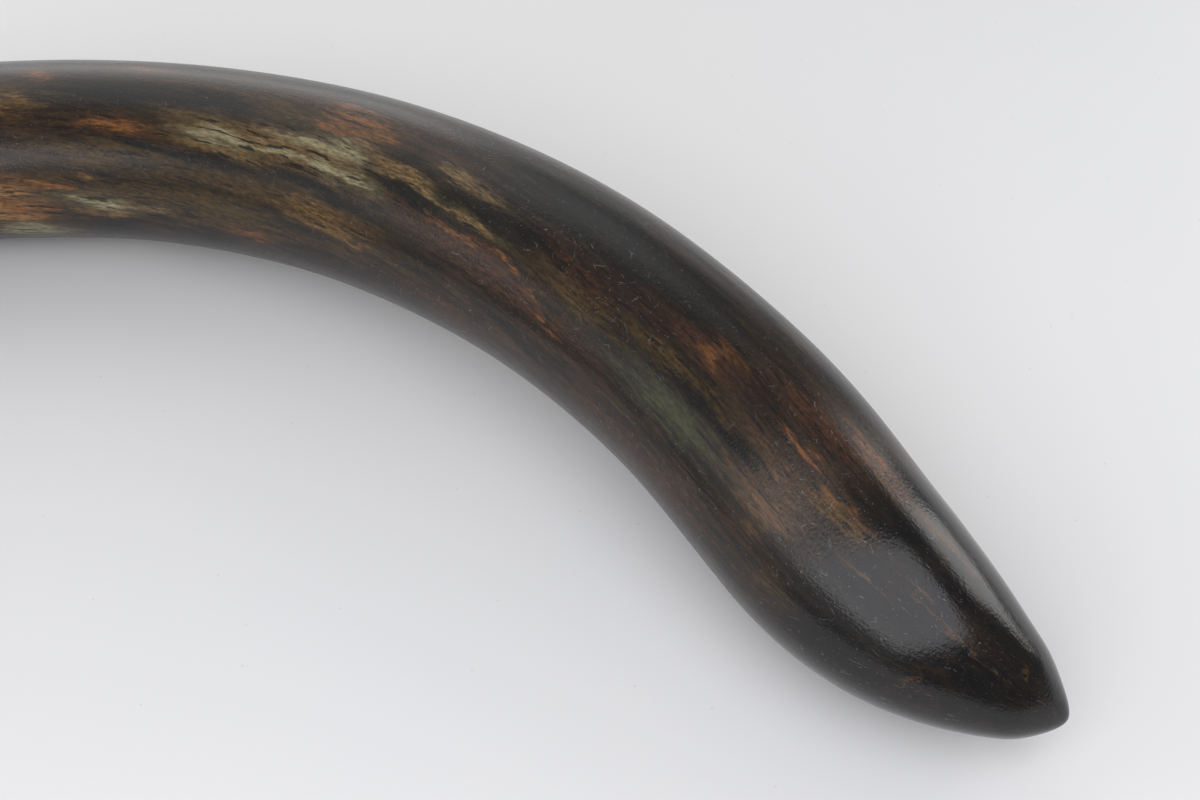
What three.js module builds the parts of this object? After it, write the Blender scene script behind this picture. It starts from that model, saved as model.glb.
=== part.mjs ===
// A small woolly mammoth tusk, worn and polished, lying on its side.
//
// The tusk grew as one piece, so it is one solid. It is turned as a straight blank, root at y = 0 and
// tip at y = LENGTH, and the blank is then bent along the growth line: every vertex keeps its distance
// along the tusk and its place in the cross-section.
//
// Lengths are in millimetres and angles in degrees. +Z is up, and the root's cut end faces -Y.

import * as THREE from 'three';
import { mergeVertices } from 'three/addons/utils/BufferGeometryUtils.js';

// Driving dimensions
const LENGTH = 880; // along the growth line, from the root's cut end to the tip
const SECTION_HEIGHT = 0.97; // height of the cross-section over its width
const TIP_ROUNDING = 14; // stretch at the tip over which the blunt end closes
const RIM_ROUNDING = 2; // rounded edge of the root's cut end
const HOLLOW_RADIUS = 22.5; // mouth of the pulp hollow
const HOLLOW_DEPTH = 110; // depth of the pulp hollow
const HOLLOW_TAPER = 1.4; // 1 gives a paraboloid, 2 a straight cone

// The tip is worn flatter on one side, as it was rubbed on the ground.
const WEAR_FACING = 48; // direction of the flatter side, up from the inside of the bend
const WEAR_SPREAD = 58; // how far round it reaches to either side
const WEAR_DEPTH = 0.045; // deepest wear, as a share of the radius
const WEAR_START = 715; // where it begins and where it is deepest, along the tusk
const WEAR_FULL = 800;

// Stations along the growth line: distance from the root, heading, half width, and the height of the
// underside over the surface that the tusk lies on. A heading of 90 points along +Y and 0 along +X.
// The tusk touches down at the root, at the middle of the bend and under the belly of the tip.
const STATIONS = [
  { along: 0, heading: 90, half: 30.5, lift: 0 },
  { along: 130, heading: 76, half: 31, lift: 1.5 },
  { along: 250, heading: 59, half: 31, lift: 3 },
  { along: 360, heading: 40, half: 31, lift: 1.5 },
  { along: 440, heading: 25, half: 31, lift: 0 },
  { along: 470, heading: 19, half: 31, lift: 0.5 },
  { along: 540, heading: 4.5, half: 31.3, lift: 4.5 },
  { along: 610, heading: -9.5, half: 32.3, lift: 8.5 },
  { along: 680, heading: -21.5, half: 33, lift: 10 },
  { along: 735, heading: -30.5, half: 33.2, lift: 7 },
  { along: 775, heading: -37, half: 33.6, lift: 2.5 },
  { along: 802, heading: -36, half: 32.4, lift: 0 },
  { along: 825, heading: -28, half: 29.3, lift: 2 },
  { along: 845, heading: -18.5, half: 24, lift: 6 },
  { along: 862, heading: -13, half: 15.8, lift: 10.5 },
  { along: 880, heading: -8, half: 6.5, lift: 15.5 },
];

// Fineness of the solid
const SEGMENTS_AROUND = 40;
const RING_SPACING = 17; // along the body
const TIP_SPACING = 8; // along the last stretch, where the girth changes quickly
const TIP_STRETCH = 130;
const HOLLOW_RINGS = 9;
const ROUNDING_STEPS = 4;
const BEND_STEP = 1; // step in which the growth line is followed
const MERGE_TOLERANCE = 1e-3;

// Smooth curve through the stations' values
const station = new THREE.CubicInterpolant(
  STATIONS.map((s) => s.along),
  STATIONS.flatMap((s) => [s.heading, s.half, s.lift]),
  3,
);

function at(along) {
  const [heading, half, lift] = station.evaluate(THREE.MathUtils.clamp(along, 0, LENGTH));
  return { heading: THREE.MathUtils.degToRad(heading), half, lift };
}

// Radius of the blank: the stations' half width, closed to a blunt round point over the last stretch
function blankRadius(along) {
  const overTip = Math.max(along - (LENGTH - TIP_ROUNDING), 0) / TIP_ROUNDING;
  return at(along).half * Math.sqrt(Math.max(1 - overTip ** 2, 0));
}

// Profile of the blank, from the bottom of the hollow over the root's rim to the tip
function hollowProfile() {
  const points = [];
  for (let i = 0; i < HOLLOW_RINGS; i += 1) {
    const u = i / HOLLOW_RINGS;
    points.push(new THREE.Vector2(HOLLOW_RADIUS * u ** HOLLOW_TAPER, HOLLOW_DEPTH * (1 - u ** 2)));
  }
  points.push(new THREE.Vector2(HOLLOW_RADIUS, 0));
  return points;
}

function rimProfile() {
  const points = [];
  const outer = at(0).half;
  for (let i = 0; i < ROUNDING_STEPS; i += 1) {
    const turn = (i / ROUNDING_STEPS) * (Math.PI / 2);
    points.push(new THREE.Vector2(
      outer - RIM_ROUNDING * (1 - Math.sin(turn)),
      RIM_ROUNDING * (1 - Math.cos(turn)),
    ));
  }
  return points;
}

function outsideProfile() {
  const points = [];
  const tipStart = LENGTH - TIP_STRETCH;
  const bodyRings = Math.round((tipStart - RIM_ROUNDING) / RING_SPACING);
  for (let i = 0; i < bodyRings; i += 1) {
    const along = THREE.MathUtils.lerp(RIM_ROUNDING, tipStart, i / bodyRings);
    points.push(new THREE.Vector2(blankRadius(along), along));
  }
  const pointStart = LENGTH - TIP_ROUNDING;
  const tipRings = Math.round((pointStart - tipStart) / TIP_SPACING);
  for (let i = 0; i < tipRings; i += 1) {
    const along = THREE.MathUtils.lerp(tipStart, pointStart, i / tipRings);
    points.push(new THREE.Vector2(blankRadius(along), along));
  }
  for (let i = 0; i < 2 * ROUNDING_STEPS; i += 1) {
    const along = pointStart + TIP_ROUNDING * Math.sin((i / (2 * ROUNDING_STEPS)) * (Math.PI / 2));
    points.push(new THREE.Vector2(blankRadius(along), along));
  }
  points.push(new THREE.Vector2(0, LENGTH));
  return points;
}

// The growth line seen from above, followed in small steps from the root
function growthLine() {
  const line = [new THREE.Vector2(0, 0)];
  for (let along = 0; along < LENGTH; along += BEND_STEP) {
    const heading = at(along + BEND_STEP / 2).heading;
    const step = new THREE.Vector2(Math.cos(heading), Math.sin(heading)).multiplyScalar(BEND_STEP);
    line.push(step.add(line[line.length - 1]));
  }
  return line;
}

// Share of the radius that is left in a direction round the section, in radians
function wornShare(along, direction) {
  const turn = THREE.MathUtils.radToDeg(direction) - WEAR_FACING;
  const nearest = THREE.MathUtils.euclideanModulo(turn + 180, 360) - 180;
  if (Math.abs(nearest) >= WEAR_SPREAD) return 1;
  const across = Math.cos((nearest / WEAR_SPREAD) * (Math.PI / 2)) ** 2;
  return 1 - WEAR_DEPTH * across * THREE.MathUtils.smoothstep(along, WEAR_START, WEAR_FULL);
}

// Bends the blank. Its x points to the inside of the bend, its y along the tusk and its z up.
function bend(geometry) {
  const line = growthLine();
  const position = geometry.attributes.position;
  for (let i = 0; i < position.count; i += 1) {
    const along = position.getY(i);
    const share = wornShare(along, Math.atan2(position.getZ(i), position.getX(i)));
    const inward = position.getX(i) * share;
    const up = position.getZ(i) * share * SECTION_HEIGHT;
    const { heading, half, lift } = at(along);
    const before = Math.min(Math.floor(along / BEND_STEP), line.length - 2);
    const centre = line[before].clone().lerp(line[before + 1], along / BEND_STEP - before);
    position.setXYZ(
      i,
      centre.x + Math.sin(heading) * inward,
      centre.y - Math.cos(heading) * inward,
      half * SECTION_HEIGHT + lift + up,
    );
  }
}

// The tusk stands with the middle of its box over the origin and its underside on z = 0.
function centreOnOrigin(geometry) {
  geometry.computeBoundingBox();
  const box = geometry.boundingBox;
  const middle = box.getCenter(new THREE.Vector3());
  geometry.translate(-middle.x, -middle.y, -box.min.z);
}

function tuskGeometry() {
  const profile = [...hollowProfile(), ...rimProfile(), ...outsideProfile()];
  let geometry = new THREE.LatheGeometry(profile, SEGMENTS_AROUND);
  geometry.deleteAttribute('normal');
  geometry.deleteAttribute('uv');
  geometry = mergeVertices(geometry, MERGE_TOLERANCE);
  bend(geometry);
  centreOnOrigin(geometry);
  geometry.computeVertexNormals();
  return geometry;
}

// Mammoth ivory, stained dark brown in the ground and polished
const ivory = new THREE.MeshStandardMaterial({ color: 0x3a2a22, roughness: 0.35, metalness: 0 });

const tusk = new THREE.Mesh(tuskGeometry(), ivory);
tusk.name = 'tusk';

const part = new THREE.Group();
part.add(tusk);

export default part;
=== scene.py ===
import math

import bpy
import numpy as np
from mathutils import Matrix, Vector, noise


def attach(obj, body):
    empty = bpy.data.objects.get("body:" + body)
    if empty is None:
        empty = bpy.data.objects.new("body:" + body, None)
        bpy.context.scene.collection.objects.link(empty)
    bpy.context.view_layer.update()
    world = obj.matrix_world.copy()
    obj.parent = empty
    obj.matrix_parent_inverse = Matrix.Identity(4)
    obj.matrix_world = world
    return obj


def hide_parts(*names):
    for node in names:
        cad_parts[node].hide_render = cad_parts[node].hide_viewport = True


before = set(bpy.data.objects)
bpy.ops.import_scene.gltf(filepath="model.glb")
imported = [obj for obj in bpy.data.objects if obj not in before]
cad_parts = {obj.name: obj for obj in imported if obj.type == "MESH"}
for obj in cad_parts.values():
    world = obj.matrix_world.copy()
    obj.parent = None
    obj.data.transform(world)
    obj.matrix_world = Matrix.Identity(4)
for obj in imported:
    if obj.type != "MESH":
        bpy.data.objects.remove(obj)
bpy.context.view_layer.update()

MM = 0.001  # the values below are in millimetres, and Blender works in metres

# The tusk
# One piece of mammoth ivory that grew in rings from an open root to a tip worn blunt on the ground.
# Dug up, it was stained dark by minerals, sawn square at the root and polished by hand. It is modelled
# as a straight blank, ring by ring from the bottom of the pulp hollow over the root's rim to the tip.

LENGTH = 880  # along the growth line, from the root's cut end to the tip
SECTION_HEIGHT = 0.97  # height of the cross-section over its width
TIP_ROUNDING = 14  # stretch at the tip over which the blunt end closes
RIM_ROUNDING = 2  # rounded outer edge of the root's cut end
MOUTH_ROUNDING = 1  # rounded edge of the pulp hollow's mouth
HOLLOW_RADIUS = 22.5
HOLLOW_DEPTH = 110
HOLLOW_TAPER = 1.4  # 1 gives a paraboloid, 2 a straight cone
WEAR_FACING = 48  # direction of the tip's worn side, in degrees up from the inside of the bend
WEAR_SPREAD = 58  # how far round it reaches to either side
WEAR_DEPTH = 0.045  # deepest wear, as a share of the radius
WEAR_START = 715  # where it begins and where it is deepest, along the tusk
WEAR_FULL = 800

# The stations of the growth line: distance from the root, heading in degrees, half width, and the height
# of the underside over the table. The last two are up to 1 mm fuller than the CAD solid's.
HEADING, HALF_WIDTH, LIFT = 1, 2, 3  # the columns after the distance
STATIONS = np.array([
    (0, 90, 30.5, 0),
    (130, 76, 31, 1.5),
    (250, 59, 31, 3),
    (360, 40, 31, 1.5),
    (440, 25, 31, 0),
    (470, 19, 31, 0.5),
    (540, 4.5, 31.3, 4.5),
    (610, -9.5, 32.3, 8.5),
    (680, -21.5, 33, 10),
    (735, -30.5, 33.2, 7),
    (775, -37, 33.6, 2.5),
    (802, -36, 32.4, 0),
    (825, -28, 29.3, 2),
    (845, -18.5, 24, 6),
    (862, -13, 16.8, 9.9),
    (880, -8, 7.3, 15),
])

# Fineness of the blank, before it is subdivided
AROUND = 48
RING_SPACING = 12
TIP_STRETCH = 140  # the last stretch, where the girth changes quickly
TIP_SPACING = 7
HOLLOW_RINGS = 9
ROUNDING_RINGS = 4


def station(along, column):
    """Smooth curve through one column of the stations, whose slope at each is the mean of its two chords."""
    places = STATIONS[:, 0]
    values = STATIONS[:, column]
    chords = np.diff(values) / np.diff(places)
    slopes = np.concatenate([chords[:1], (chords[1:] + chords[:-1]) / 2, chords[-1:]])
    i = np.clip(np.searchsorted(places, along, side="right") - 1, 0, len(places) - 2)
    gap = places[i + 1] - places[i]
    u = (np.clip(along, 0, LENGTH) - places[i]) / gap
    rise = slopes[i] * gap * (u ** 3 - 2 * u ** 2 + u) + slopes[i + 1] * gap * (u ** 3 - u ** 2)
    return values[i] + (values[i + 1] - values[i]) * (3 * u ** 2 - 2 * u ** 3) + rise


def blank_radius(along):
    """Half width of the tusk at one place, closed to a blunt round point over the last stretch."""
    over_tip = max(along - (LENGTH - TIP_ROUNDING), 0) / TIP_ROUNDING
    return float(station(along, HALF_WIDTH)) * math.sqrt(max(1 - over_tip ** 2, 0))


def blank_profile():
    """(radius, distance along) of every ring of the blank, from the bottom of the hollow to the tip."""
    rings = []
    for i in range(1, HOLLOW_RINGS):
        u = i / HOLLOW_RINGS
        rings.append((HOLLOW_RADIUS * u ** HOLLOW_TAPER, HOLLOW_DEPTH * (1 - u ** 2)))
    for i in range(ROUNDING_RINGS + 1):
        turn = i / ROUNDING_RINGS * math.pi / 2
        rings.append((HOLLOW_RADIUS + MOUTH_ROUNDING * (1 - math.cos(turn)),
                      MOUTH_ROUNDING * (1 - math.sin(turn))))
    rim = STATIONS[0, HALF_WIDTH] - RIM_ROUNDING
    rings.append(((HOLLOW_RADIUS + rim) / 2, 0))
    for i in range(ROUNDING_RINGS):
        turn = i / ROUNDING_RINGS * math.pi / 2
        rings.append((rim + RIM_ROUNDING * math.sin(turn), RIM_ROUNDING * (1 - math.cos(turn))))
    tip_start = LENGTH - TIP_STRETCH
    point_start = LENGTH - TIP_ROUNDING
    body = np.arange(RIM_ROUNDING, tip_start, RING_SPACING)
    worn = np.arange(tip_start, point_start, TIP_SPACING)
    turns = np.linspace(0, math.pi / 2, 2 * ROUNDING_RINGS, endpoint=False)
    point = point_start + TIP_ROUNDING * np.sin(turns)
    for along in [*body, *worn, *point]:
        rings.append((blank_radius(along), float(along)))
    return rings


# Each ring is the one before it, extruded along the blank and scaled to its own radius.
profile = blank_profile()
radius, along = profile[0]
bpy.ops.object.select_all(action="DESELECT")
bpy.ops.mesh.primitive_circle_add(vertices=AROUND, radius=radius * MM, fill_type="NGON",
                                  location=(0, along * MM, 0), rotation=(math.pi / 2, 0, 0))
tusk = bpy.context.object
tusk.name = "polished_tusk"
bpy.ops.object.transform_apply(location=True, rotation=True, scale=True)
bpy.ops.object.mode_set(mode="EDIT")
bpy.ops.mesh.select_all(action="SELECT")
for (radius_before, along_before), (radius, along) in zip(profile, profile[1:]):
    bpy.ops.mesh.extrude_region_move(
        TRANSFORM_OT_translate={"value": (0, (along - along_before) * MM, 0)})
    share = radius / radius_before
    bpy.ops.transform.resize(value=(share, 1, share), center_override=(0, along * MM, 0))
bpy.ops.mesh.extrude_region_move(
    TRANSFORM_OT_translate={"value": (0, (LENGTH - profile[-1][1]) * MM, 0)})
bpy.ops.mesh.merge(type="CENTER")
bpy.ops.mesh.select_all(action="SELECT")
bpy.ops.mesh.normals_make_consistent(inside=False)
bpy.ops.object.mode_set(mode="OBJECT")
smooth = tusk.modifiers.new("smooth", "SUBSURF")
smooth.levels = smooth.render_levels = 2
bpy.ops.object.modifier_apply(modifier=smooth.name)

# The place in the straight blank, kept on every vertex, is what the ivory's grain and stains follow. The
# grain winds round the tusk as it grows.
GRAIN_TWIST = 0.17  # degrees to the millimetre
TWIST_REFERENCE = 640  # where a wound direction is the true one
TWIST_END = 700  # from here to the tip the grain runs straight
count = len(tusk.data.vertices)
blank = np.empty(count * 3)
tusk.data.vertices.foreach_get("co", blank)
blank = blank.reshape(count, 3) / MM
inward, along, up = blank.T
twist = np.radians(GRAIN_TWIST * (np.minimum(along, TWIST_END) - TWIST_REFERENCE))
wound = np.column_stack([along, inward * np.cos(twist) - up * np.sin(twist),
                         inward * np.sin(twist) + up * np.cos(twist)])
growth = tusk.data.attributes.new("growth", "FLOAT_VECTOR", "POINT")
growth.data.foreach_set("vector", (wound * MM).astype(np.float32).ravel())

# The worn side of the tip, and a hand-polished surface that is nowhere quite even
SWELL_LENGTH = 55
SWELL_WIDTH = 26
SWELL_HEIGHT = 0.16
SWELL_START = 20  # it fades out towards the root's cut end, which is flat
turn = (np.degrees(np.arctan2(up, inward)) - WEAR_FACING + 180) % 360 - 180
across = np.where(np.abs(turn) < WEAR_SPREAD, np.cos(turn / WEAR_SPREAD * math.pi / 2) ** 2, 0)
onset = np.clip((along - WEAR_START) / (WEAR_FULL - WEAR_START), 0, 1)
share = 1 - WEAR_DEPTH * across * onset ** 2 * (3 - 2 * onset)
swell = np.array([noise.noise((a / SWELL_LENGTH, i / SWELL_WIDTH, u / SWELL_WIDTH))
                  for i, a, u in blank])
share += SWELL_HEIGHT * swell / np.maximum(np.hypot(inward, up), 1) * np.clip(along / SWELL_START, 0, 1)

# The blank is bent along the growth line, and the middle of its box comes over the origin.
steps = np.arange(0, LENGTH + 1)
headings = np.radians(station(steps[:-1] + 0.5, HEADING))
line_x = np.concatenate([[0], np.cumsum(np.cos(headings))])
line_y = np.concatenate([[0], np.cumsum(np.sin(headings))])
heading = np.radians(station(along, HEADING))
half = station(along, HALF_WIDTH)
lift = station(along, LIFT)
bent = np.column_stack([
    np.interp(along, steps, line_x) + np.sin(heading) * inward * share,
    np.interp(along, steps, line_y) - np.cos(heading) * inward * share,
    half * SECTION_HEIGHT + lift + up * share * SECTION_HEIGHT,
]) * MM
bent[:, :2] -= (bent[:, :2].min(0) + bent[:, :2].max(0)) / 2
bent[:, 2] -= bent[:, 2].min()
tusk.data.vertices.foreach_set("co", bent.astype(np.float32).ravel())
tusk.data.update()
bpy.ops.object.shade_smooth()


def linear(colour):
    """sRGB hex, as read off the object, to the linear colour that a shader takes."""
    parts = [int(colour[i:i + 2], 16) / 255 for i in (1, 3, 5)]
    return (*[p / 12.92 if p <= 0.04045 else ((p + 0.055) / 1.055) ** 2.4 for p in parts], 1)


def add(tree, kind, inputs=None, **settings):
    """Adds one node. inputs gives each socket a value, or the socket or node that feeds it."""
    made = tree.nodes.new(kind)
    for name, value in settings.items():
        setattr(made, name, value)
    for socket, value in (inputs or {}).items():
        if isinstance(value, bpy.types.Node):
            value = next(output for output in value.outputs if output.enabled)
        if isinstance(value, bpy.types.NodeSocket):
            tree.links.new(value, made.inputs[socket])
        else:
            made.inputs[socket].default_value = value
    return made


# The outside: polished stained ivory
# Mammoth ivory is cream. Thousands of years in wet ground stain it brown to nearly black from the bark
# inwards, and polishing cuts through the stain in places, which shows as sage, tan and orange streaks
# along the growth. The polish is satin, so it mirrors the lights softly.
ivory = bpy.data.materials.new("polished_stained_ivory")
ivory.use_nodes = True
tree = ivory.node_tree
tree.nodes.clear()
place = add(tree, "ShaderNodeAttribute", attribute_name="growth").outputs["Vector"]

# The growth layers are wavy, so the grain wanders by about half a millimetre.
WAVE_LENGTH = 34
WAVE_REACH = 3  # the noise stays within about a sixth of it to either side
waves = add(tree, "ShaderNodeTexNoise", {"Vector": place, "Scale": 1 / (WAVE_LENGTH * MM), "Detail": 2.0})
aside = add(tree, "ShaderNodeVectorMath", {0: waves.outputs["Color"], 1: (0.5, 0.5, 0.5)},
            operation="SUBTRACT")
wavy = add(tree, "ShaderNodeVectorMath", {0: aside, 1: (0, WAVE_REACH * MM, WAVE_REACH * MM), 2: place},
           operation="MULTIPLY_ADD")

# Noise drawn out along the growth: the length and width of its features in millimetres, its octaves, how
# strong the finer ones are, and a seed
PATTERNS = {
    "clouds": (70, 20, 3, 0.55, 3.1),
    "zones": (60, 16, 2, 0.5, 83.0),
    "bands": (40, 5, 5, 0.6, 17.0),
    "streaks": (26, 2.4, 6, 0.62, 0.0),
    "torn": (13, 2.0, 6, 0.7, 57.0),
    "fibres": (9, 0.9, 4, 0.62, 7.3),
    "grain": (2.6, 0.6, 3, 0.6, 11.7),
    "dashes": (11, 1.15, 3, 0.5, 31.0),
    "wander": (14, 4, 4, 0.6, 21.0),
    "mottle": (3.6, 1.4, 4, 0.75, 43.0),
}
noises = {}
for name, (length, width, octaves, roughness, seed) in PATTERNS.items():
    drawn_out = add(tree, "ShaderNodeVectorMath",
                    {0: wavy, 1: (1 / (length * MM), 1 / (width * MM), 1 / (width * MM)), 2: (seed,) * 3},
                    operation="MULTIPLY_ADD")
    noises[name] = add(tree, "ShaderNodeTexNoise", {"Vector": drawn_out, "Scale": 1.0, "Detail": octaves,
                                                    "Roughness": roughness})

# The surface laid flat: along the tusk and round it. The patches' edges wander by a few millimetres.
NOMINAL_RADIUS = 31
WANDER = (26 * MM, 9 * MM, 0)
parts = add(tree, "ShaderNodeSeparateXYZ", {0: wavy})
along_at = parts.outputs[0]
angle = add(tree, "ShaderNodeMath", {0: parts.outputs[2], 1: parts.outputs[1]}, operation="ARCTAN2")
arc = add(tree, "ShaderNodeMath", {0: angle, 1: NOMINAL_RADIUS * MM}, operation="MULTIPLY")
surface = add(tree, "ShaderNodeCombineXYZ", {0: along_at, 1: arc})
offset = add(tree, "ShaderNodeVectorMath", {0: noises["wander"].outputs["Color"], 1: (0.5, 0.5, 0.5)},
             operation="SUBTRACT")
wandering = add(tree, "ShaderNodeVectorMath", {0: offset, 1: WANDER, 2: surface},
                operation="MULTIPLY_ADD")

# The ground: nearly black, with grain lines that go from olive to reddish brown
ground_depth = add(tree, "ShaderNodeMath", {0: noises["clouds"], 1: noises["streaks"]}, operation="ADD")
share = add(tree, "ShaderNodeMapRange", {0: ground_depth, 1: 0.85, 2: 1.25}, interpolation_type="SMOOTHSTEP")
colour = add(tree, "ShaderNodeMix", {0: share, 6: linear("#13110F"), 7: linear("#2C221A")}, data_type="RGBA")
warmth = add(tree, "ShaderNodeMapRange", {0: noises["zones"], 1: 0.4, 2: 0.6},
             interpolation_type="SMOOTHSTEP")
line_colour = add(tree, "ShaderNodeMix", {0: warmth, 6: linear("#3B301E"), 7: linear("#40291D")},
                  data_type="RGBA")
share = add(tree, "ShaderNodeMapRange", {0: noises["streaks"], 1: 0.46, 2: 0.66, 4: 0.7},
            interpolation_type="SMOOTHSTEP")
colour = add(tree, "ShaderNodeMix", {0: share, 6: colour, 7: line_colour}, data_type="RGBA")
share = add(tree, "ShaderNodeMapRange", {0: noises["torn"], 1: 0.56, 2: 0.72, 4: 0.5},
            interpolation_type="SMOOTHSTEP")
colour = add(tree, "ShaderNodeMix", {0: share, 6: colour, 7: linear("#4E3A28")}, data_type="RGBA")

# Where the stain differs or is cut through. Each kind lies over the ones before it: its colours in the
# hollows and on the ridges of the grain, the noise that tears its patches, how far that reaches, how much
# of it covers, and its patches. A patch is the distance along, the direction round the section in degrees
# (0 is the inside of the bend, 90 the top), half length, half width and, where it isn't 0, the turn across
# the grain.
STAINS = {
    "brown": ("#221810", "#452F20", "torn", 1.5, 0.7, [
        (520, 58, 66, 8), (696, 62, 26, 7), (782, 60, 36, 10), (480, 60, 30, 8), (450, 58, 30, 10),
        (776, 96, 36, 8), (480, 20, 44, 12), (600, 92, 40, 11), (555, 98, 90, 10), (640, 46, 66, 8),
        (745, 10, 50, 8), (840, 75, 40, 8)]),
    "rust": ("#28190F", "#4C2E1C", "torn", 1.6, 0.65, [
        (672, 41, 50, 9), (692, 65, 26, 6), (742, 79, 32, 8), (783, 99, 30, 6), (655, 2, 28, 5),
        (745, 8, 40, 4), (513, 56, 30, 5), (600, 90, 20, 7), (700, 36, 34, 5)]),
    "olive": ("#2F2312", "#4C391D", "streaks", 1.3, 0.9, [
        (540, 37, 90, 9), (545, 14, 74, 10), (806, 18, 12, 7), (745, 60, 44, 5), (700, 52, 30, 5),
        (600, 28, 44, 9), (570, 84, 40, 7)]),
    "green": ("#21211A", "#3A3A22", "streaks", 1.4, 0.85, [
        (752, 44, 40, 7), (565, 61, 40, 8), (606, 56, 26, 5), (662, 71, 16, 3), (648, 60, 36, 3)]),
    "umber": ("#3E2D1D", "#5C432C", "torn", 1.4, 0.9, [(788, 56, 20, 10), (792, 52, 12, 12)]),
    "ochre": ("#45341D", "#6E512B", "torn", 1.4, 0.9, [
        (570, 60, 48, 7), (560, 52, 36, 3), (600, 30, 28, 4), (600, 22, 28, 2), (505, 28.5, 7, 2),
        (478, 12, 20, 11), (806, 74, 12, 5), (474, 76, 16, 8), (511, 2, 17, 3.4), (622, 69, 18, 3),
        (600, 84, 18, 7)]),
    "tan": ("#58452E", "#806846", "torn", 1.4, 0.9, [
        (586, 63, 34, 5), (644, 78, 12, 4), (652, 75, 14, 3), (662, 72, 10, 2), (630, 62.5, 22, 1.6),
        (655, 58.5, 18, 1.6), (626, 69, 12, 1.6), (528, 8, 12, 1.8), (476, 10, 13, 6), (606, 75, 12, 1.6),
        (601, 88, 14, 4)]),
    "amber": ("#7C5631", "#B4854B", "torn", 1.3, 0.92, [
        (468, 11, 20, 9), (474, 0, 15, 5), (456, 28, 12, 8), (456, 80, 12, 10), (491, 21, 9, 0.9),
        (516, 60, 10, 1)]),
    "sage": ("#736A4F", "#8F8668", "torn", 1.3, 0.92, [
        (556, 59, 18, 3.6), (588, 66, 16, 2.6), (602, 68, 14, 4), (603, 53.5, 18, 2.2), (511, 9, 15, 3.6),
        (480, -20, 17, 7), (578, 57, 18, 1.8)]),
    "orange": ("#4E3019", "#7E5129", "torn", 1.7, 0.85, [
        (516, 60, 16, 3), (601, 87, 18, 5), (600, 98, 14, 1.6), (597, 79, 12, 1.8), (606, 92, 12, 1.6),
        (478, 6, 14, 6), (491, 21, 14, 1.4), (570, 0, 12, 3), (746, 80, 7, 3.2), (750, 86, 8, 2),
        (812, 110, 34, 4), (698, 33.5, 9, 1.4), (687, 43, 2.5, 1.2), (650, 49, 18, 1.4), (672, 49, 9, 1.2),
        (787, 81, 12, 1.8), (483, 100, 9, 4), (517, 108, 11, 3.6), (808, 79, 13, 1.4, 17)]),
    "black": ("#0F0E0D", "#191614", "torn", 1.6, 0.92, [
        (668, 67, 28, 4.4), (702, 94, 62, 12), (512, 84, 22, 5), (634, 56, 26, 2.4), (760, 57, 28, 3.4),
        (550, 84, 26, 4), (540, 47, 40, 2), (600, 42, 30, 2)]),
}
TEAR_MIDDLE = 0.5  # the middle value of the noise that tears a patch
HALO_COVER = 0.3  # how much of the hollows' colour shows faintly round a patch


def nearest_patch(patches):
    """Distance from the nearest patch, where 1 is its edge. A patch is written as in STAINS."""
    nearest = 9.0
    for at, facing, half_length, half_width, *turned in patches:
        wound_facing = facing + GRAIN_TWIST * (min(at, TWIST_END) - TWIST_REFERENCE)
        middle = (at * MM, math.radians(wound_facing) * NOMINAL_RADIUS * MM, 0)
        away = add(tree, "ShaderNodeVectorMath", {0: wandering, 1: middle}, operation="SUBTRACT")
        if turned:
            away = add(tree, "ShaderNodeVectorRotate", {"Vector": away, "Angle": -math.radians(turned[0])},
                       rotation_type="Z_AXIS")
        shrink = (1 / (half_length * MM), 1 / (half_width * MM), 0)
        scaled = add(tree, "ShaderNodeVectorMath", {0: away, 1: shrink}, operation="MULTIPLY")
        distance = add(tree, "ShaderNodeVectorMath", {0: scaled}, operation="LENGTH")
        nearest = add(tree, "ShaderNodeMath", {0: distance, 1: nearest}, operation="MINIMUM")
    return nearest


# The photo shows only one side of the last 410 mm. Elsewhere noise draws patches of the same kinds.
SEEN_FROM = 440
SEEN_FACING = 45
SEEN_SPREAD = 100  # degrees to either side
SEEN_FADE = (30, 8)  # how soon the drawn patches begin past it, along the tusk and round it
SCATTER_SIZE = (52, 10, 10)
SCATTER_SEEDS = (101.0, 131.0, 173.0, 191.0)
towards_root = add(tree, "ShaderNodeMapRange",
                   {0: along_at, 1: SEEN_FROM * MM, 2: (SEEN_FROM + SEEN_FADE[0]) * MM, 3: 1.0, 4: 0.0})
seen_middle = math.radians(SEEN_FACING) * NOMINAL_RADIUS * MM
seen_edge = math.radians(SEEN_SPREAD) * NOMINAL_RADIUS * MM
round_from_seen = add(tree, "ShaderNodeMath", {0: arc, 1: seen_middle}, operation="SUBTRACT")
round_from_seen = add(tree, "ShaderNodeMath", {0: round_from_seen}, operation="ABSOLUTE")
towards_back = add(tree, "ShaderNodeMapRange",
                   {0: round_from_seen, 1: seen_edge, 2: seen_edge + SEEN_FADE[1] * MM})
unseen = add(tree, "ShaderNodeMath", {0: towards_root, 1: towards_back}, operation="MAXIMUM")
allowed = add(tree, "ShaderNodeMapRange", {0: unseen, 3: -8.0, 4: 1.0})
draws = []
for seed in SCATTER_SEEDS:
    drawn_out = add(tree, "ShaderNodeVectorMath",
                    {0: wavy, 1: [1 / (size * MM) for size in SCATTER_SIZE], 2: (seed,) * 3},
                    operation="MULTIPLY_ADD")
    noise_at = add(tree, "ShaderNodeTexNoise", {"Vector": drawn_out, "Scale": 1.0, "Detail": 1.0})
    draws += add(tree, "ShaderNodeSeparateColor", {0: noise_at.outputs["Color"]}).outputs[:3]

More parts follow.
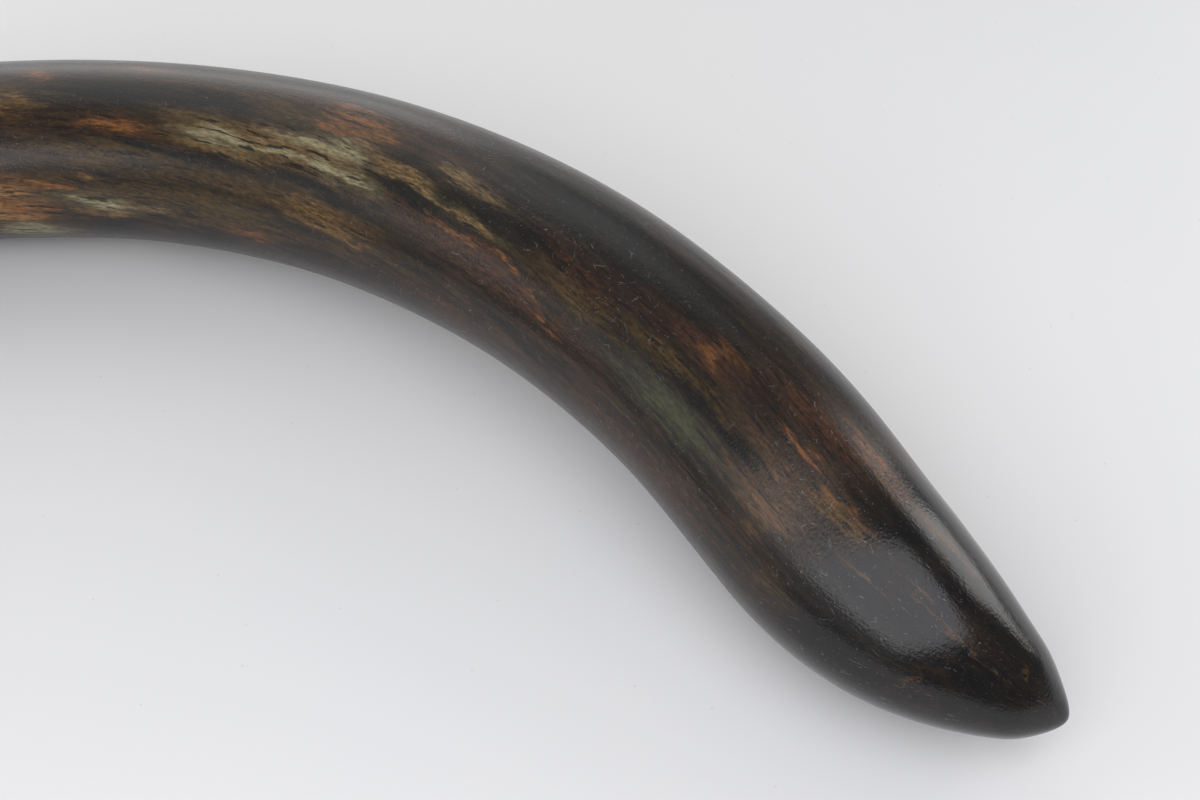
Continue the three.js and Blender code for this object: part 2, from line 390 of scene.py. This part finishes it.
nearly = add(tree, "ShaderNodeMath", {0: noises["fibres"], 1: noises["grain"]}, operation="ADD")
across_grain = add(tree, "ShaderNodeMath", {0: nearly, 1: noises["bands"]}, operation="ADD")
ridge = add(tree, "ShaderNodeMapRange", {0: across_grain, 1: 1.25, 2: 1.8}, interpolation_type="SMOOTHSTEP")
for (hollow, crest, tear, reach, cover, patches), draw in zip(STAINS.values(), draws):
    nearest = nearest_patch(patches)
    inside = add(tree, "ShaderNodeMath", {0: 1 - reach * TEAR_MIDDLE, 1: nearest}, operation="SUBTRACT")
    scattered = add(tree, "ShaderNodeMapRange", {0: draw, 1: 0.5, 2: 0.75, 3: -1.6, 4: 0.6})
    scattered = add(tree, "ShaderNodeMath", {0: scattered, 1: allowed}, operation="MINIMUM")
    inside = add(tree, "ShaderNodeMath", {0: inside, 1: scattered}, operation="MAXIMUM")
    pulled = add(tree, "ShaderNodeMath", {0: noises[tear], 1: reach, 2: inside}, operation="MULTIPLY_ADD")
    halo = add(tree, "ShaderNodeMapRange", {0: pulled, 1: -0.6, 2: 0.4, 4: HALO_COVER},
               interpolation_type="SMOOTHSTEP")
    colour = add(tree, "ShaderNodeMix", {0: halo, 6: colour, 7: linear(hollow)}, data_type="RGBA")
    share = add(tree, "ShaderNodeMapRange", {0: pulled, 1: 0.05, 2: 0.7, 4: cover},
                interpolation_type="SMOOTHSTEP")
    shade = add(tree, "ShaderNodeMix", {0: ridge, 6: linear(hollow), 7: linear(crest)}, data_type="RGBA")
    colour = add(tree, "ShaderNodeMix", {0: share, 6: colour, 7: shade}, data_type="RGBA")

# Short black dashes lie in the grain all over.
share = add(tree, "ShaderNodeMapRange", {0: noises["dashes"], 1: 0.59, 2: 0.64, 4: 0.85},
            interpolation_type="SMOOTHSTEP")
colour = add(tree, "ShaderNodeMix", {0: share, 6: colour, 7: linear("#13100F")}, data_type="RGBA")

# The worn tip is black, with a few fine orange veins, which are written as the patches are.
TIP_COLOUR_START = 792
TIP_COLOUR_FULL = 822
VEINS = [(846, 66, 24, 0.9, -18), (866, 76, 9, 0.9, -42), (820, 61, 13, 0.6, -7), (843, 22, 12, 0.8, 84),
         (833, 76, 7, 1.2, -6), (806, 78, 16, 2.4, 14), (828, 112, 26, 3, 0), (852, 100, 14, 0.7, -10)]
tip = add(tree, "ShaderNodeMapRange", {0: along_at, 1: TIP_COLOUR_START * MM, 2: TIP_COLOUR_FULL * MM},
          interpolation_type="SMOOTHSTEP")
blackness = add(tree, "ShaderNodeMapRange", {0: noises["bands"], 1: 0.4, 2: 0.68, 3: 0.93, 4: 0.6},
                interpolation_type="SMOOTHSTEP")
share = add(tree, "ShaderNodeMath", {0: tip, 1: blackness}, operation="MULTIPLY")
colour = add(tree, "ShaderNodeMix", {0: share, 6: colour, 7: linear("#0B0909")}, data_type="RGBA")
inside = add(tree, "ShaderNodeMath", {0: 0.5, 1: nearest_patch(VEINS)}, operation="SUBTRACT")
pulled = add(tree, "ShaderNodeMath", {0: noises["fibres"], 1: 1.0, 2: inside}, operation="MULTIPLY_ADD")
share = add(tree, "ShaderNodeMapRange", {0: pulled, 1: 0.1, 2: 0.8, 4: 0.6}, interpolation_type="SMOOTHSTEP")
colour = add(tree, "ShaderNodeMix", {0: share, 6: colour, 7: linear("#503820")}, data_type="RGBA")

# A fine mottle of lighter and darker grain goes over every colour.
fine = add(tree, "ShaderNodeMath", {0: noises["grain"], 1: noises["mottle"]}, operation="ADD")
shade = add(tree, "ShaderNodeMapRange", {0: fine, 1: 0.7, 2: 1.3, 3: 0.62, 4: 1.38})
colour = add(tree, "ShaderNodeMix", {0: 1.0, 6: colour, 7: shade}, data_type="RGBA", blend_type="MULTIPLY")

# Dust and short fibres of lint lie on the polish, drawn wider than the real ones so that they show. Each
# cell of a pattern holds at most one, and the cell's own colour gives its turn and whether it is there.
# A kind is the size of its cells, its half length, its half width and the share of cells without one.
LINT_KINDS = [(8, 1.9, 0.11, 0.5), (5, 0.9, 0.1, 0.6), (3.1, 0.2, 0.16, 0.45), (2.3, 0.13, 0.13, 0.5)]
LINT_WANDER = (8 * MM, 4 * MM, 0)
lint = 0.0
for spacing, half_length, half_width, rarity in LINT_KINDS:
    moved = add(tree, "ShaderNodeVectorMath", {0: offset, 1: LINT_WANDER, 2: surface},
                operation="MULTIPLY_ADD")
    cells = add(tree, "ShaderNodeTexVoronoi", {"Vector": moved, "Scale": 1 / (spacing * MM)},
                voronoi_dimensions="2D")
    away = add(tree, "ShaderNodeVectorMath", {0: moved, 1: cells.outputs["Position"]}, operation="SUBTRACT")
    drawn = add(tree, "ShaderNodeSeparateColor", {0: cells.outputs["Color"]})
    turn = add(tree, "ShaderNodeMath", {0: drawn.outputs[0], 1: math.pi}, operation="MULTIPLY")
    spun = add(tree, "ShaderNodeVectorRotate", {"Vector": away, "Angle": turn}, rotation_type="Z_AXIS")
    shrink = (1 / (half_length * MM), 1 / (half_width * MM), 0)
    scaled = add(tree, "ShaderNodeVectorMath", {0: spun, 1: shrink}, operation="MULTIPLY")
    distance = add(tree, "ShaderNodeVectorMath", {0: scaled}, operation="LENGTH")
    mark = add(tree, "ShaderNodeMapRange", {0: distance, 1: 1.0, 2: 0.5}, interpolation_type="SMOOTHSTEP")
    chosen = add(tree, "ShaderNodeMath", {0: drawn.outputs[1], 1: rarity}, operation="GREATER_THAN")
    speck = add(tree, "ShaderNodeMath", {0: mark, 1: chosen}, operation="MULTIPLY")
    lint = add(tree, "ShaderNodeMath", {0: speck, 1: lint}, operation="MAXIMUM")
dusty = add(tree, "ShaderNodeMapRange", {0: noises["clouds"], 1: 0.42, 2: 0.6, 3: 0.15, 4: 0.5})
share = add(tree, "ShaderNodeMath", {0: dusty, 1: lint}, operation="MULTIPLY")
colour = add(tree, "ShaderNodeMix", {0: share, 6: colour, 7: linear("#8A8888")}, data_type="RGBA")

# The polish: satin on the body and glossy on the tip, smudged in bands, with fine pits between the fibres
PIT_SIZE = 0.9
PIT_STRENGTH = 2.0  # over that of the grain
RELIEF_HEIGHT = 0.06
BODY_ROUGHNESS = 0.26
TIP_ROUGHNESS = 0.15
gloss = add(tree, "ShaderNodeMapRange", {0: tip, 3: BODY_ROUGHNESS, 4: TIP_ROUGHNESS})
smudges = add(tree, "ShaderNodeMapRange", {0: noises["bands"], 1: 0.35, 2: 0.65, 3: -0.03, 4: 0.04})
roughness = add(tree, "ShaderNodeMath", {0: gloss, 1: smudges}, operation="ADD")
pitted = add(tree, "ShaderNodeTexNoise", {"Vector": place, "Scale": 1 / (PIT_SIZE * MM), "Detail": 2.0})
uneven = add(tree, "ShaderNodeMath", {0: pitted, 1: PIT_STRENGTH, 2: nearly}, operation="MULTIPLY_ADD")
relief = add(tree, "ShaderNodeBump", {"Height": uneven, "Strength": 0.5,
                                      "Distance": RELIEF_HEIGHT * MM})
shader = add(tree, "ShaderNodeBsdfPrincipled", {"Base Color": colour, "IOR": 1.47, "Roughness": roughness,
                                                "Normal": relief})
add(tree, "ShaderNodeOutputMaterial", {"Surface": shader})
tusk.data.materials.append(ivory)

# The root's cut end: sawn ivory
# The saw cut shows the growth rings, the crossed lines that mark mammoth ivory, and a dark bark outside.
# It is smooth but not polished, so it is duller than the outside.
RING_WIDTH = 1.7
CROSSED_LINES = 46  # in each direction
LINE_LEAN = 3.2  # radians to the millimetre outwards
BARK_START = 27  # mean radius at which the bark begins, and at which it covers all
BARK_FULL = 28.4
MOTTLE_SCALE = 0.22  # to the millimetre
UNEVEN_WIDTH = 3  # the mottle pushes the rings and the bark aside within this width
sawn = bpy.data.materials.new("sawn_ivory")
sawn.use_nodes = True
tree = sawn.node_tree
tree.nodes.clear()
place = add(tree, "ShaderNodeAttribute", attribute_name="growth").outputs["Vector"]
section = add(tree, "ShaderNodeVectorMath", {0: place, 1: (0, 1 / MM, 1 / MM)}, operation="MULTIPLY")
parts = add(tree, "ShaderNodeSeparateXYZ", {0: section})
from_axis = add(tree, "ShaderNodeVectorMath", {0: section}, operation="LENGTH")
angle = add(tree, "ShaderNodeMath", {0: parts.outputs[2], 1: parts.outputs[1]}, operation="ARCTAN2")
mottle = add(tree, "ShaderNodeTexNoise", {"Vector": section, "Scale": MOTTLE_SCALE, "Detail": 5.0,
                                          "Roughness": 0.65})
uneven = add(tree, "ShaderNodeMath", {0: mottle, 1: UNEVEN_WIDTH, 2: from_axis}, operation="MULTIPLY_ADD")
turns = add(tree, "ShaderNodeMath", {0: uneven, 1: 2 * math.pi / RING_WIDTH}, operation="MULTIPLY")
rings = add(tree, "ShaderNodeMath", {0: turns}, operation="SINE")
crossed = 1.0
for lean in (LINE_LEAN, -LINE_LEAN):
    wound_on = add(tree, "ShaderNodeMath", {0: from_axis, 1: lean}, operation="MULTIPLY")
    phase = add(tree, "ShaderNodeMath", {0: angle, 1: CROSSED_LINES, 2: wound_on}, operation="MULTIPLY_ADD")
    wave = add(tree, "ShaderNodeMath", {0: phase}, operation="SINE")
    crossed = add(tree, "ShaderNodeMath", {0: wave, 1: crossed}, operation="MULTIPLY")
lines = add(tree, "ShaderNodeMath", {0: crossed, 1: 0.6, 2: rings}, operation="MULTIPLY_ADD")
lines = add(tree, "ShaderNodeMath", {0: mottle, 1: 5.0, 2: lines}, operation="MULTIPLY_ADD")
tone = add(tree, "ShaderNodeMapRange", {0: lines, 1: 0.8, 2: 4.2})
colour = add(tree, "ShaderNodeMix", {0: tone, 6: linear("#5B442D"), 7: linear("#A08660")}, data_type="RGBA")
bark = add(tree, "ShaderNodeMapRange",
           {0: uneven, 1: BARK_START + UNEVEN_WIDTH / 2, 2: BARK_FULL + UNEVEN_WIDTH / 2},
           interpolation_type="SMOOTHSTEP")
colour = add(tree, "ShaderNodeMix", {0: bark, 6: colour, 7: linear("#1C1511")}, data_type="RGBA")
relief = add(tree, "ShaderNodeBump", {"Height": lines, "Strength": 0.3, "Distance": 0.05 * MM})
shader = add(tree, "ShaderNodeBsdfPrincipled", {"Base Color": colour, "IOR": 1.47, "Roughness": 0.48,
                                                "Normal": relief})
add(tree, "ShaderNodeOutputMaterial", {"Surface": shader})
tusk.data.materials.append(sawn)

# The pulp hollow: its bare wall
# The soft pulp sat against this wall. It is matt, with rings of growth and dark earth in its pores.
hollow_wall = bpy.data.materials.new("bare_pulp_wall")
hollow_wall.use_nodes = True
tree = hollow_wall.node_tree
tree.nodes.clear()
place = add(tree, "ShaderNodeAttribute", attribute_name="growth").outputs["Vector"]
LAYER_SCALE = (700, 60, 60)  # to the metre: layers of 1.4 mm, even for 17 mm round the wall
EARTH_SCALE = 160
steps_along = add(tree, "ShaderNodeVectorMath", {0: place, 1: LAYER_SCALE}, operation="MULTIPLY")
layers = add(tree, "ShaderNodeTexNoise", {"Vector": steps_along, "Scale": 1.0, "Detail": 4.0})
earth = add(tree, "ShaderNodeTexNoise", {"Vector": place, "Scale": EARTH_SCALE, "Detail": 6.0,
                                         "Roughness": 0.7})
tone = add(tree, "ShaderNodeMapRange", {0: layers, 1: 0.35, 2: 0.65})
colour = add(tree, "ShaderNodeMix", {0: tone, 6: linear("#4A3826"), 7: linear("#7B644A")}, data_type="RGBA")
share = add(tree, "ShaderNodeMapRange", {0: earth, 1: 0.48, 2: 0.64, 4: 0.8}, interpolation_type="SMOOTHSTEP")
colour = add(tree, "ShaderNodeMix", {0: share, 6: colour, 7: linear("#2A2019")}, data_type="RGBA")
height = add(tree, "ShaderNodeMath", {0: layers, 1: earth}, operation="ADD")
relief = add(tree, "ShaderNodeBump", {"Height": height, "Strength": 0.6, "Distance": 0.3 * MM})
shader = add(tree, "ShaderNodeBsdfPrincipled", {"Base Color": colour, "IOR": 1.47, "Roughness": 0.82,
                                                "Normal": relief})
add(tree, "ShaderNodeOutputMaterial", {"Surface": shader})
tusk.data.materials.append(hollow_wall)

# Each face takes its finish from its place in the straight blank.
RIM_DEPTH = 0.4  # how far the sawn faces reach in
corners = np.empty(len(tusk.data.loops), dtype=np.int32)
tusk.data.loops.foreach_get("vertex_index", corners)
corners = corners.reshape(-1, 4)
face_radius = np.hypot(inward, up)[corners].mean(1)
face_along = along[corners].mean(1)
finish = np.zeros(len(corners), dtype=np.int32)
rim_outer = STATIONS[0, HALF_WIDTH] - RIM_ROUNDING
finish[(face_along < RIM_DEPTH) & (face_radius < rim_outer + RIM_ROUNDING / 2)] = 1
finish[(face_along < HOLLOW_DEPTH + 1) & (face_radius < HOLLOW_RADIUS + MOUTH_ROUNDING / 2)] = 2
tusk.data.polygons.foreach_set("material_index", finish)

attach(tusk, "root")
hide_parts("tusk")

# The floor
# A seamless pale table top, matt white board with a faint haze and a few specks of dust on it. It is so
# wide that its edge doesn't show.
FLOOR_SIZE = 30  # metres
SPECK_SPACING = 42
SPECK_RADIUS = 0.45
bpy.ops.object.select_all(action="DESELECT")
bpy.ops.mesh.primitive_plane_add(size=FLOOR_SIZE)
floor = bpy.context.object
floor.name = "floor"
table = bpy.data.materials.new("pale_table")
table.use_nodes = True
tree = table.node_tree
tree.nodes.clear()
spot = add(tree, "ShaderNodeTexCoord").outputs["Object"]
haze = add(tree, "ShaderNodeTexNoise", {"Vector": spot, "Scale": 4.0, "Detail": 3.0})
tone = add(tree, "ShaderNodeMapRange", {0: haze, 1: 0.3, 2: 0.7})
colour = add(tree, "ShaderNodeMix", {0: tone, 6: linear("#E5E5E5"), 7: linear("#E9E8E7")}, data_type="RGBA")
cells = add(tree, "ShaderNodeTexVoronoi", {"Vector": spot, "Scale": 1 / (SPECK_SPACING * MM)},
            voronoi_dimensions="2D")
away = add(tree, "ShaderNodeVectorMath", {0: spot, 1: cells.outputs["Position"]}, operation="DISTANCE")
share = add(tree, "ShaderNodeMapRange", {0: away, 1: SPECK_RADIUS * MM, 2: SPECK_RADIUS * MM / 2, 4: 0.16},
            interpolation_type="SMOOTHSTEP")
colour = add(tree, "ShaderNodeMix", {0: share, 6: colour, 7: linear("#6E6C6A")}, data_type="RGBA")
shader = add(tree, "ShaderNodeBsdfPrincipled", {"Base Color": colour, "Roughness": 0.6})
add(tree, "ShaderNodeOutputMaterial", {"Surface": shader})
floor.data.materials.append(table)

# The camera
# A 50 mm lens on a 36 mm frame, which looks down on the tip and the middle of the bend. It looks at the
# point of the table that is in the middle of the picture.
CAMERA_TURN = math.radians(18.43)
CAMERA_HEIGHT = 52
CAMERA_DISTANCE = 550.86 * MM
LOOKS_AT = Vector((157.29, 147.27, 0)) * MM


def towards(azimuth, height):
    """Unit vector in degrees: azimuth is 0 straight away from the viewer and 90 to the right."""
    turn = CAMERA_TURN - math.radians(azimuth)
    height = math.radians(height)
    return Vector((-math.sin(turn) * math.cos(height), math.cos(turn) * math.cos(height), math.sin(height)))


bpy.ops.object.camera_add()
camera = bpy.context.object
camera.data.lens = 50
camera.data.sensor_width = 36
back = towards(180, CAMERA_HEIGHT)
camera.location = LOOKS_AT + back * CAMERA_DISTANCE
camera.rotation_euler = (-back).to_track_quat("-Z", "Y").to_euler()
bpy.context.scene.camera = camera

# The light
# A large scrim hangs over the table on the viewer's side, lower on the left, and its back edge passes right
# over the tip, where it shows as a grey sheen. A soft box behind on the right gives the band along the tip's
# back. Pale walls and a ceiling behind and on the left lighten the table, and on the right it stays dark.
LIT_POINT = Vector((240, 60, 30)) * MM


def soft_box(name, along_edge, out_edge, offset, width, height, radiance):
    """The edges are the directions of the box's two sides, and offset is its middle from LIT_POINT."""
    facing = along_edge.cross(out_edge).normalized()
    if facing.dot(offset) < 0:
        along_edge, facing = -along_edge, -facing
    bpy.ops.object.light_add(type="AREA")
    light = bpy.context.object
    light.name = name
    light.data.shape = "RECTANGLE"
    light.data.size = width
    light.data.size_y = height
    light.data.energy = radiance * math.pi * width * height
    axes = Matrix((along_edge.normalized(), facing.cross(along_edge).normalized(), facing)).transposed()
    light.matrix_world = Matrix.Translation(LIT_POINT + offset) @ axes.to_4x4()


def aimed_box(name, azimuth, height, distance, half_width, half_height, radiance):
    """A box that faces the tusk. Its half sizes are angles, as seen from the tusk."""
    direction = towards(azimuth, height)
    side = towards(azimuth + 90, 0)
    width = 2 * distance * math.tan(math.radians(half_width))
    rise = 2 * distance * math.tan(math.radians(half_height))
    soft_box(name, side, direction.cross(side), direction * distance, width, rise, radiance)


SCRIM_DISTANCE = 0.68  # metres, as are the distances of the boxes
SCRIM_DEPTH = 0.84
SCRIM_HALF_ANGLE = 44
SCRIM_START = 0.01  # how far its back edge reaches past the tip
SCRIM_RADIANCE = 2.0
SCRIM_COLOUR = (0.955, 0.965, 1.025)  # a little bluer than the rest
normal = towards(-114, 71)
inwards = towards(156, 0)
middle = normal * SCRIM_DISTANCE + inwards * (SCRIM_DEPTH / 2 - SCRIM_START)
width = 2 * SCRIM_DISTANCE * math.tan(math.radians(SCRIM_HALF_ANGLE))
soft_box("scrim", normal.cross(inwards), inwards, middle, width, SCRIM_DEPTH, SCRIM_RADIANCE)
bpy.context.object.data.color = SCRIM_COLOUR
aimed_box("back_box", 60, 21, 0.8, 15, 16, 2.8)
aimed_box("back_wall", -34, 13, 1.0, 30, 12, 1.0)
aimed_box("back_ceiling", -18, 40, 1.0, 26, 13, 0.75)
aimed_box("left_wall", -75, 18, 1.2, 22, 15, 2.1)
aimed_box("front_left_wall", -132, 20, 1.3, 26, 14, 0.35)
aimed_box("low_back_wall", -15, 8, 1.5, 40, 8, 0.6)

ROOM_LIGHT = 0.265
world = bpy.data.worlds.new("studio")
bpy.context.scene.world = world
world.use_nodes = True
world.node_tree.nodes["Background"].inputs["Color"].default_value = linear("#FFFFFF")
world.node_tree.nodes["Background"].inputs["Strength"].default_value = ROOM_LIGHT
bpy.context.scene.view_settings.view_transform = "Standard"
